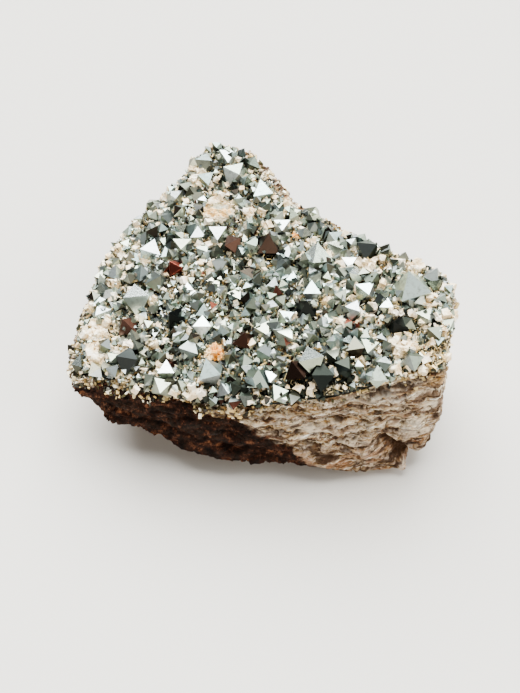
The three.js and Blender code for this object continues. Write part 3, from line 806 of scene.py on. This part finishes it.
def mark_rock(mesh, moved, relief, cracks, seam, shapes, chips):
    """Store the painted shade in the rock's hollows, cracks and under the rim, with its dirt, the
    painted highlight on its crests, and where it is rusty, and then what its front and its rim
    show."""
    x, y, z = moved.T
    # Painted shade: the rock is darker in its hollows, cracks, seams and deep front hollows.
    dip = soften(mesh, relief, 40) - relief
    near = soften(mesh, relief, 4) - relief
    depth = 0.9 * smooth_step(0.2, 0.9, dip) + 0.5 * smooth_step(0.05, 0.25, near)
    depth += 0.45 * cracks + 0.2 * seam + 0.7 * smooth_step(-1.0, -2.2, shapes)
    drop, beside = drop_below_rim(moved)
    # Painted shadow under the overhanging rim at the front left.
    under_rim_shadow = smooth_step(5, -5, x) * smooth_step(-15, -25, y)
    depth += 0.6 * smooth_step(0.2, 1.0, drop) * smooth_step(4.0, 1.5, drop) * under_rim_shadow
    # Clouds of dirt, 5 mm long, that climb to the right with the layers.
    dirt = rough(moved / (5.0, 5.0, 1.6) - np.outer(0.1 * x / 1.6, (0, 0, 1)), 0.8)
    foot = smooth_step(15, 5, z)
    depth += (0.55 + 0.3 * foot) * smooth_step(0.16 - 0.14 * foot, 0.5, dirt)
    rusty = 0.75 * (smooth_step(16, 7, z) * smooth_step(-0.25, 0.3, -dirt))
    rusty = np.maximum(rusty, 0.7 * smooth_step(-0.4, -1.4, shapes))
    store(mesh, "rust", np.maximum(rusty, 0.5 * smooth_step(0.0, 0.4, dirt)))
    store(mesh, "shade_and_dirt", np.clip(depth, 0, 0.9))
    depth = np.clip(depth, 0, 1)
    # A painted highlight on the crests, where the rock bulges out.
    store(mesh, "crest_highlight", 0.45 * smooth_step(0.15, 0.8, -dip) * (1 - depth))
    mark_front(mesh, moved, depth, dirt, chips)
    mark_rim(mesh, moved, drop, beside)


def mark_front(mesh, moved, depth, dirt, chips):
    """Store the pale band under the druse, the cream streaks, the dark iron stain and painted
    shade below the ridge, the darkening towards the foot on the other sides, and the golden
    corner."""
    x, y, z = moved.T
    front = smooth_step(-22, -30, y)
    pale = smooth_step(1.5, 0.6, abs(z - np.interp(x, *zip(*PALE_BAND))))
    store(mesh, "pale", 0.35 * (pale * smooth_step(15, 19, x)) * front)
    cream = np.zeros(len(moved))
    for at, level, wide, tall in FRONT_CREAM:
        gap = away(moved[:, [0, 2]], (at, level), wide, tall) + 0.35 * chips
        cream = np.maximum(cream, smooth_step(1.25, 0.5, gap) * front)
    store(mesh, "cream", 0.75 * cream * (1 - 0.7 * depth))
    # Below the ridge, iron stain and painted shade; on the other sides the rock is darker towards
    # the foot.
    ridge = np.interp(x, *zip(*FRONT_RIDGE)) + 0.7 * chips + 1.6 * dirt
    below = smooth_step(0.6, -1.6, z - ridge) * (1 - 0.75 * cream)
    low = smooth_step(9.0, 1.0, z)
    store(mesh, "stain_and_shade", np.clip(np.maximum(below * front, 0.5 * low * (1 - front)), 0, 1))
    corner = smooth_step(6.5, 2.5, away(moved, GOLDEN_CORNER, 1, 1 / 1.2))
    store(mesh, "gold", 0.9 * corner * smooth_step(26, 30, z))


def mark_rim(mesh, moved, drop, beside):
    """Store where crumbs of rock and litter of the druse cling, mostly under the rim."""
    x, _, z = moved.T
    hang = 2.6 + 3 * clumps(moved, 4, 3.3) + 2 * smooth_step(9, 3, abs(x + 14))
    rim = smooth_step(hang, 0.4, drop) * (drop > -0.8) * smooth_step(5, 3, beside)
    open_side = (inside_edge(moved[:, :2]) < 0.2) * smooth_step(1.5, 3.0, z)
    store(mesh, "crumbs", np.clip(0.03 * open_side + 0.6 * rim, 0, 1))
    store(mesh, "litter", rim * (0.3 + 0.7 * smooth_step(6, -8, x)))


class SPECIMEN_OT_host_rock(bpy.types.Operator):
    """Break the sides of the host rock into layers, ledges, crevices and crumbs"""

    bl_idname = "specimen.host_rock"
    bl_label = "Host Rock"

    def execute(self, context):
        rock = context.scene.specimen_rock
        # Without a seed of its own, the noise that turns the chips differs in every run.
        noise.seed_set(rock.seed)
        piece = cell_mesh(rock)
        mesh = piece.data
        points = rows(mesh.vertices, "co") / MM
        normals = rows(mesh.vertex_normals, "vector")
        wide = rock.chip / MM
        ledges, cracks = np.array([ledge_relief(p, rock) for p in points]).T
        chips, seams = np.array([chip_relief(p, wide, 0) for p in points]).T
        bits, bit_seams = np.array([chip_relief(p, 0.36 * wide, 17) for p in points]).T
        seam = np.maximum(smooth_step(0.12, 0, seams), 0.6 * smooth_step(0.1, 0, bit_seams))
        shapes = front_relief(points)
        fine = rough(points * (1 / 2.4, 1 / 2.4, 1 / 0.9), 0.75)
        relief = ledges + chips + 0.25 * bits + rock.lumps / MM * fine + shapes
        relief -= 0.6 * cracks + 0.15 * seam + 0.6 * np.array([crevice(p) for p in points])
        # The flat foot stays flat, and the bed under the druse keeps its height.
        free = smooth_step(0.4, 3.0, points[:, 2])
        cover = smooth_step(-0.5, 1.5, inside_edge(points[:, :2])) * (normals[:, 2] > 0.4)
        relief *= free * (1 - cover)
        moved = points + normals * (1, 1, 0.3) * relief[:, None]
        moved[:, 2] = np.maximum(moved[:, 2], 0)
        mesh.vertices.foreach_set("co", (moved * MM).ravel())
        mark_rock(mesh, moved, relief, cracks, seam, shapes, chips)
        mesh.polygons.foreach_set("use_smooth", [True] * len(mesh.polygons))
        mesh.update()
        hand_over(piece, "host_rock", "host_rock")

        crumbs = strew(
            "rock_crumbs", mesh, "crumbs", ROCK_CRUMB, 0.7 * MM, Spacing=0.75 * MM,
            Least=0.4 * MM, Most=rock.crumb, Rise=0.0, Seed=3, Material=mesh.materials[0])
        hand_over(crumbs, "host_rock")
        return {"FINISHED"}


def build_bed():
    """A sheet over the druse's floor, a little above the CAD layer, that dips into the
    rock at the edge. It carries what the scatter needs to know at each point."""
    step = 0.5
    span_x = np.arange(-48, 48, step)
    span_y = np.arange(-40, 45, step)
    grid = np.array([(x, y) for y in span_y for x in span_x])
    depth = inside_edge(grid)
    lift = -0.3 + 1.9 * smooth_step(-1.3, 0.5, depth)
    lift += 1.35 * filled_by_feldspar(grid) * smooth_step(-0.5, 1.5, depth)
    uneven = 0.45 * clumps(grid, 1.2, 0.3) + 0.55 * clumps(grid, 3.1, 5.3)
    rock = tree_of(["host_rock"])
    mesh = bmesh.new()
    corners = {}
    for i, (x, y) in enumerate(grid):
        base = height_under(rock, x, y, 0.75)
        if depth[i] >= -1.6 and base is not None:
            corners[i] = mesh.verts.new((x * MM, y * MM, (base + lift[i] + uneven[i]) * MM))
    wide = len(span_x)
    for i in corners:
        ring = [i, i + 1, i + 1 + wide, i + wide]
        if all(k in corners for k in ring) and (i + 1) % wide:
            mesh.faces.new([corners[k] for k in ring])
    for corner in [v for v in mesh.verts if not v.link_faces]:
        mesh.verts.remove(corner)
    return plain_mesh("bed", mesh)


def mark_bed(data):
    """Store where crystals, grains and flakes may lie on the bed."""
    points = rows(data.vertices, "co") / MM
    filled = filled_by_feldspar(points)
    within = inside_edge(points[:, :2])
    standing = tree_of([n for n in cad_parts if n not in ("host_rock", "crystal_crust")])
    room = np.array([height_under(standing, p[0], p[1]) is None for p in points], float)
    corner = smooth_step(11, 5, away(points, GOLDEN_CORNER))
    grouped = clumps(points, 5, 8.1)
    outer = smooth_step(0.5, 1.2, away(points, (-2, -14), 32, 22))
    centre = smooth_step(1.3, 0.6, away(points, (0, -28), 12, 6))
    flakes = 0.6 - 1.1 * grouped - 0.25 * outer + 0.9 * corner + 0.35 * centre - 0.5 * filled
    flakes = np.clip(flakes, 0.12, 1)
    room *= 1 - 0.6 * smooth_step(0.55, 0.95, flakes)
    store(data, "filled", filled * (within > -0.6))
    store(data, "room", room * (1 - 0.85 * filled) * (1 - 0.9 * corner) * (within > -0.1))
    store(data, "open", (1 - 0.7 * filled) * (1 - 0.6 * corner) * (within > -0.9))
    cream = 0.12 + 0.45 * outer + 0.6 * grouped + 0.2 * filled
    cream = np.clip(cream, 0.03, 1) * (1 - 0.85 * smooth_step(8, 4, away(points, GOLDEN_FLAKES)))
    store(data, "cream", cream * (within > -0.4))
    store(data, "flakes", flakes * (within > -0.9))
    return data


def grown_over():
    """The standing and the fused crystals, with a mark on their lower parts, where
    smaller crystals have grown onto them."""
    names = [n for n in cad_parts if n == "crystal_crust" or n.startswith("octahedron")]
    mesh = merged_copy(names)
    bmesh.ops.subdivide_edges(mesh, edges=mesh.edges[:], cuts=2, use_grid_fill=True)
    data = plain_mesh("grown over", mesh)
    points = rows(data.vertices, "co") / MM
    normals = rows(data.vertex_normals, "vector")
    rock = tree_of(["host_rock"])
    under = np.array([height_under(rock, p[0], p[1]) or 99 for p in points])
    above = points[:, 2] - under
    low = smooth_step(4.6, 2.6, above) * (above > 0.8) * (normals[:, 2] > -0.2)
    store(data, "low", low * (inside_edge(points[:, :2]) > 0.3))
    return data


def scatter_tree(name, mask, shape, ragged):
    """A tree that strews a shape over a surface, where a mask of the surface allows it. Its
    inputs are named for what they set."""
    tree = bpy.data.node_groups.new(name, "GeometryNodeTree")
    for label, kind in (
            ("Surface", "Geometry"), ("Spacing", "Float"), ("Least", "Float"),
            ("Most", "Float"), ("Rise", "Float"), ("Seed", "Int"), ("Material", "Material")):
        tree.interface.new_socket(label, in_out="INPUT", socket_type="NodeSocket" + kind)
    tree.interface.new_socket("Strewn", in_out="OUTPUT", socket_type="NodeSocketGeometry")
    given = add(tree, "NodeGroupInput").outputs
    area = add(tree, "ShaderNodeMath", {0: given["Spacing"], 1: given["Spacing"]},
               operation="MULTIPLY")
    crowd = add(tree, "ShaderNodeMath", {0: 1.8, 1: area}, operation="DIVIDE")
    where = add(tree, "GeometryNodeInputNamedAttribute", {"Name": mask}, data_type="FLOAT")
    spread = add(tree, "GeometryNodeDistributePointsOnFaces", {
        "Mesh": given["Surface"], "Distance Min": given["Spacing"], "Density Max": crowd,
        "Density Factor": where, "Seed": given["Seed"]}, distribute_method="POISSON")
    luck = add(tree, "FunctionNodeRandomValue", {2: 0.0, 3: 1.0, "Seed": 1}, data_type="FLOAT")
    shrunk = add(tree, "ShaderNodeMath", {0: luck, 1: 1.6}, operation="POWER")
    size = add(tree, "ShaderNodeMapRange", {
        "Value": shrunk, 3: given["Least"], 4: given["Most"]})
    rise = add(tree, "ShaderNodeMath", {0: size, 1: given["Rise"]}, operation="MULTIPLY")
    lift = add(tree, "ShaderNodeCombineXYZ", {"Z": rise})
    raised = add(tree, "GeometryNodeSetPosition", {"Geometry": spread, "Offset": lift})
    turned = add(tree, "FunctionNodeRandomValue", {
        0: (-math.pi,) * 3, 1: (math.pi,) * 3, "Seed": 2}, data_type="FLOAT_VECTOR")
    squeeze = add(tree, "FunctionNodeRandomValue", {
        0: (0.7,) * 3, 1: (1.2,) * 3, "Seed": 3}, data_type="FLOAT_VECTOR")
    scale = add(tree, "ShaderNodeVectorMath", {0: squeeze, "Scale": size}, operation="SCALE")
    strewn = add(tree, "GeometryNodeInstanceOnPoints", {
        "Points": raised, "Instance": add(tree, *shape), "Rotation": turned, "Scale": scale})
    tone = add(tree, "FunctionNodeRandomValue", {2: 0.0, 3: 1.0, "Seed": 4}, data_type="FLOAT")
    toned = add(tree, "GeometryNodeStoreNamedAttribute", {
        "Geometry": strewn, "Name": "tone", "Value": tone}, data_type="FLOAT", domain="INSTANCE")
    whole = add(tree, "GeometryNodeRealizeInstances", {"Geometry": toned})
    # Corners shift by up to half of the ragged length, in a pattern of 1.2 mm.
    wobble = add(tree, "ShaderNodeTexNoise", {
        "Vector": add(tree, "GeometryNodeInputPosition"), "Scale": 850.0, "Detail": 2.0})
    centred = add(tree, "ShaderNodeVectorMath", {
        0: wobble.outputs["Color"], 1: (0.5, 0.5, 0.5)}, operation="SUBTRACT")
    shift = add(tree, "ShaderNodeVectorMath", {0: centred, "Scale": ragged}, operation="SCALE")
    moved = add(tree, "GeometryNodeSetPosition", {"Geometry": whole, "Offset": shift})
    done = add(tree, "GeometryNodeSetMaterial", {
        "Geometry": moved, "Material": given["Material"]})
    add(tree, "NodeGroupOutput", {"Strewn": done})
    return tree


def strew(name, surface, mask, shape, ragged, **values):
    """Strew a shape over a surface, and keep the result as a plain mesh."""
    piece = new_piece(name, surface.copy(), values["Material"])
    modifier = piece.modifiers.new("Scatter", "NODES")
    modifier.node_group = scatter_tree("Strewn " + name, mask, shape, ragged)
    for item in modifier.node_group.interface.items_tree:
        if item.in_out == "INPUT" and item.name in values:
            modifier[item.identifier] = values[item.name]
    settle(piece)
    if not piece.data.polygons:
        raise RuntimeError(name + " came out empty")
    return piece


def darkening_and_painted_shade(points):
    """How much darker crystals are painted than elsewhere, from 0 to 1: a little towards the
    right and the back, and more in the hollows along the front edge, where it is painted shade."""
    x, y = points[:, 0], points[:, 1]
    darker = 0.12 * smooth_step(8, 28, x) + 0.12 * smooth_step(5, 25, y)
    for middle, wide, deep, most in DARK_HOLLOWS:
        darker += most * smooth_step(1.3, 0.6, away(points, middle, wide, deep))
    return darker


def crystal_tones(mesh, least):
    """Crowd the random tones of strewn crystals towards the bright end, and turn a few of
    the crystals red."""
    # Darker towards the right and the back, and painted shade in the hollows along the front.
    darker = darkening_and_painted_shade(rows(mesh.vertices, "co") / MM)
    store(mesh, "tone", (least + (1 - least) * stored(mesh, "tone") ** 0.6) * (1 - darker))
    facets = stored(mesh, "facet")
    for spot in RED_SPOTS:
        facets[away(rows(mesh.polygons, "center") / MM, spot) < 1.3] = 1
    store(mesh, "facet", facets, "FACE")


def gild(mesh):
    """Turn most of the flakes in the right front corner of the druse golden."""
    tones = stored(mesh, "tone")
    corner = away(rows(mesh.vertices, "co") / MM, GOLDEN_FLAKES) < 6
    tones[corner & (tones < 0.55)] = 1
    store(mesh, "tone", tones)


def in_layer(points):
    """Which points of the crust belong to the thin layer under its crystals."""
    rock = tree_of(["host_rock"])
    under = [height_under(rock, x, y) for x, y, _ in points]
    return np.array([u is None or z - u < 1.75 for u, z in zip(under, points[:, 2])])


class SPECIMEN_OT_druse(bpy.types.Operator):
    """Grow the druse: its sandy floor, the fused small crystals, and finer ones between"""

    bl_idname = "specimen.druse"
    bl_label = "Druse"

    def execute(self, context):
        druse = context.scene.specimen_druse
        fresh = fresh_magnetite(druse)
        bed = mark_bed(build_bed())
        floor = new_piece("druse_floor", bed.copy(), bed_material(druse))
        shell = floor.modifiers.new("Shell", "SOLIDIFY")
        shell.thickness = 0.5 * MM
        shell.offset = -1
        settle(floor)
        hand_over(floor, "magnetite")

        crust = plain_mesh("crust", merged_copy(["crystal_crust"]))
        fused = new_piece("druse_fused_crystals", crust, fresh)
        numbers = number_facets(crust, druse.seed)
        # The layer that carries the fused crystals lies in the dark between them, and is painted
        # near black as painted shade; the crystals get the painted shade of the hollows.
        middles = rows(crust.polygons, "center") / MM
        bright = (0.3 + 0.7 * (numbers * 5.3 % 1) ** 0.6) * (1 - darkening_and_painted_shade(middles))
        store(crust, "tone", np.where(in_layer(middles), 0.05, bright), "FACE")
        hand_over(fused, "magnetite", "crystal_crust")

        # An octahedron's edge is as long as its half height times the root of two. The last
        # two numbers add to the druse's seed, and set the least brightness.
        root = math.sqrt(2)
        for kind, surface, mask, spacing, least, most, rise, step, tone in (
                ("middling", bed, "room", druse.spacing, druse.least, druse.most, 0.5, 0, 0.2),
                ("grown_on", grown_over(), "low", druse.grown_spacing, 0.9 * MM,
                 druse.grown_edge, 0.0, 5, 0.2),
                ("fine", bed, "open", druse.fine_spacing, 0.5 * MM, druse.fine_edge, 0.3, 2,
                 0.3)):
            crystals = strew(
                "druse_" + kind + "_crystals", surface, mask, OCTAHEDRON, 0.0,
                Spacing=spacing, Least=least / root, Most=most / root, Rise=rise,
                Seed=druse.seed + step, Material=fresh)
            number_facets(crystals.data, druse.seed + step + 1)
            crystal_tones(crystals.data, tone)
            hand_over(crystals, "magnetite")

        grains = strew(
            "feldspar_grains", bed, "cream", GRAIN, 1.5 * MM,
            Spacing=druse.grain_spacing, Least=0.45 * MM, Most=druse.grain_size, Rise=0.3,
            Seed=druse.seed + 4, Material=feldspar_material(druse))
        hand_over(grains, "feldspar")

        mica = mica_material(druse)
        flakes = strew(
            "mica_flakes", bed, "flakes", FLAKE, 0.3 * MM,
            Spacing=druse.flake_spacing, Least=0.6 * MM, Most=druse.flake_size, Rise=0.5,
            Seed=druse.seed + 8, Material=mica)
        gild(flakes.data)
        hand_over(flakes, "feldspar")

        litter = strew(
            "rim_litter", bpy.data.objects["rock"].data, "litter", LITTER, 0.7 * MM,
            Spacing=0.6 * MM, Least=0.45 * MM, Most=0.8 * druse.flake_size, Rise=0.1,
            Seed=druse.seed + 9, Material=mica)
        hand_over(litter, "feldspar")
        return {"FINISHED"}


class SPECIMEN_OT_leaders(bpy.types.Operator):
    """Give the large octahedra worn edges and grown faces"""

    bl_idname = "specimen.leaders"
    bl_label = "Large Crystals"

    def execute(self, context):
        druse = context.scene.specimen_druse
        fresh = sorted(
            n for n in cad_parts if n.startswith("octahedron_") and n not in STAINED)
        for name, nodes, slot, material in (
                ("large_crystals", fresh, "magnetite", fresh_magnetite(druse)),
                ("stained_crystals", STAINED, "magnetite_stained", stained_magnetite(druse))):
            mesh = plain_mesh(name, merged_copy(nodes, LEADER_TONES))
            piece = new_piece(name, mesh, material)
            worn = piece.modifiers.new("Worn edges", "BEVEL")
            worn.width = 0.07 * MM
            worn.segments = 1
            worn.angle_limit = math.radians(40)
            settle(piece)
            numbers = number_facets(piece.data, druse.seed + len(nodes))
            store(piece.data, "facet", numbers * 0.67, "FACE")
            hand_over(piece, slot, *nodes)
        return {"FINISHED"}


class SPECIMEN_OT_grains(bpy.types.Operator):
    """Roughen the large feldspar and limonite grains"""

    bl_idname = "specimen.grains"
    bl_label = "Mineral Grains"

    def execute(self, context):
        druse = context.scene.specimen_druse
        low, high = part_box("limonite_01")
        for kind, material, swell, deep in (
                ("feldspar", feldspar_material(druse), 0.1, 0.5),
                ("limonite", limonite_material(druse, (low[0] + high[0]) / 2), 0.2, 1.0)):
            name = kind + "_lumps"
            nodes = sorted(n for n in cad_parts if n.startswith(kind + "_"))
            piece = new_piece(name, plain_mesh(name, merged_copy(nodes)), material)
            remake_in_cells(piece, 0.22 * MM)
            mesh = piece.data
            points = rows(mesh.vertices, "co") / MM
            normals = rows(mesh.vertex_normals, "vector")
            uneven = rough(points / 1.3, 0.8, 2.2)
            moved = points + normals * (swell + deep * uneven)[:, None]
            mesh.vertices.foreach_set("co", (moved * MM).ravel())
            mesh.update()
            # The grey-green middle lies a little to the front of the lump's own middle.
            gap = away(moved, (-11.2, 20.0), 4.6, 4.4) + 0.25 * uneven
            store(mesh, "core", smooth_step(1.1, 0.25, gap))
            hand_over(piece, kind, *nodes)
        return {"FINISHED"}


def sky_light(name, direction, width, strength, colour):
    """A soft light from far away, as wide as an angle in degrees."""
    lamp = bpy.data.lights.new(name, "SUN")
    lamp.angle = math.radians(width)
    lamp.energy = strength
    lamp.color = colour[:3]
    light = bpy.data.objects.new(name, lamp)
    light.rotation_euler = Vector(direction).to_track_quat("Z", "Y").to_euler()
    bpy.context.scene.collection.objects.link(light)


class SPECIMEN_OT_stage(bpy.types.Operator):
    """Set up the pale floor, the soft lights and the camera"""

    bl_idname = "specimen.stage"
    bl_label = "Stage"

    def execute(self, context):
        stage = context.scene.specimen_stage
        mesh = bmesh.new()
        bmesh.ops.create_grid(mesh, x_segments=1, y_segments=1, size=12)
        material, tree = new_material("Pale matt paper")
        place = add(tree, "ShaderNodeTexCoord").outputs["Object"]
        # Fibres of 1 mm, too shallow to see as more than a soft unevenness.
        fibres = add(tree, "ShaderNodeTexNoise", {"Vector": place, "Scale": 900.0, "Detail": 3.0})
        bump = add(tree, "ShaderNodeBump", {
            "Strength": 0.1, "Distance": 0.1 * MM, "Height": fibres})
        shader = add(tree, "ShaderNodeBsdfPrincipled", {
            "Base Color": stage.floor[:], "Roughness": 0.9, "Normal": bump})
        add(tree, "ShaderNodeOutputMaterial", {"Surface": shader})
        new_piece("floor", plain_mesh("floor", mesh), material)

        world = bpy.data.worlds.new("Studio")
        world.use_nodes = True
        nodes = world.node_tree
        nodes.nodes.clear()
        seen = add(nodes, "ShaderNodeLightPath").outputs["Is Camera Ray"]
        room = add(nodes, "ShaderNodeBackground", {"Color": linear("#8A8F94"), "Strength": 0.45})
        wall = add(nodes, "ShaderNodeBackground", {"Color": linear("#D0CECB"), "Strength": 2.45})
        both = add(nodes, "ShaderNodeMixShader", {0: seen, 1: room, 2: wall})
        add(nodes, "ShaderNodeOutputWorld", {"Surface": both})
        context.scene.world = world

        cool = linear("#FAFCFB")
        warm = linear("#FFF4E6")
        sky_light("Key", (-0.12, 1.2, 1.75), 68, stage.key_power, cool)
        sky_light("Side", (1.8, 0.1, 1.1), 50, stage.key_power * 0.2, cool)
        sky_light("Fill", (0.5, -2.2, 0.9), 50, stage.fill_power, warm)

        target = Vector((-0.5, -19.0, 24.0)) * MM
        back = Vector((0, -math.cos(stage.elevation), math.sin(stage.elevation)))
        lens = bpy.data.cameras.new("Camera")
        # 900 pixels of focal length on a frame 693 pixels high.
        lens.lens = 36 * 900 / 693
        lens.clip_start = 0.01
        camera = bpy.data.objects.new("Camera", lens)
        camera.location = target + back * stage.distance
        camera.rotation_euler = back.to_track_quat("Z", "Y").to_euler()
        context.scene.collection.objects.link(camera)
        context.scene.camera = camera
        context.scene.view_settings.view_transform = "AgX"
        context.scene.view_settings.look = "AgX - Medium High Contrast"
        return {"FINISHED"}


OPERATORS = [
    SPECIMEN_OT_host_rock, SPECIMEN_OT_druse, SPECIMEN_OT_leaders, SPECIMEN_OT_grains,
    SPECIMEN_OT_stage,
]
GROUPS = {
    "specimen_rock": SpecimenRock,
    "specimen_druse": SpecimenDruse,
    "specimen_stage": SpecimenStage,
}


class SPECIMEN_PT_panel(bpy.types.Panel):
    """Lists the pieces of the specimen and their settings"""

    bl_idname = "SPECIMEN_PT_panel"
    bl_label = "Magnetite Specimen"
    bl_space_type = "VIEW_3D"
    bl_region_type = "UI"
    bl_category = "Specimen"

    def draw(self, context):
        for operator in OPERATORS:
            self.layout.operator(operator.bl_idname)
        for name in GROUPS:
            settings = getattr(context.scene, name)
            box = self.layout.box()
            for key in settings.__annotations__:
                box.prop(settings, key)


def register():
    for group in [*GROUPS.values(), *OPERATORS, SPECIMEN_PT_panel]:
        bpy.utils.register_class(group)
    for name, group in GROUPS.items():
        setattr(bpy.types.Scene, name, PointerProperty(type=group))


def unregister():
    for name in GROUPS:
        delattr(bpy.types.Scene, name)
    for group in reversed([*GROUPS.values(), *OPERATORS, SPECIMEN_PT_panel]):
        bpy.utils.unregister_class(group)


def main():
    """Make every piece in turn."""
    register()
    bpy.ops.specimen.host_rock()
    bpy.ops.specimen.druse()
    bpy.ops.specimen.leaders()
    bpy.ops.specimen.grains()
    bpy.ops.specimen.stage()


if __name__ == "__main__":
    main()
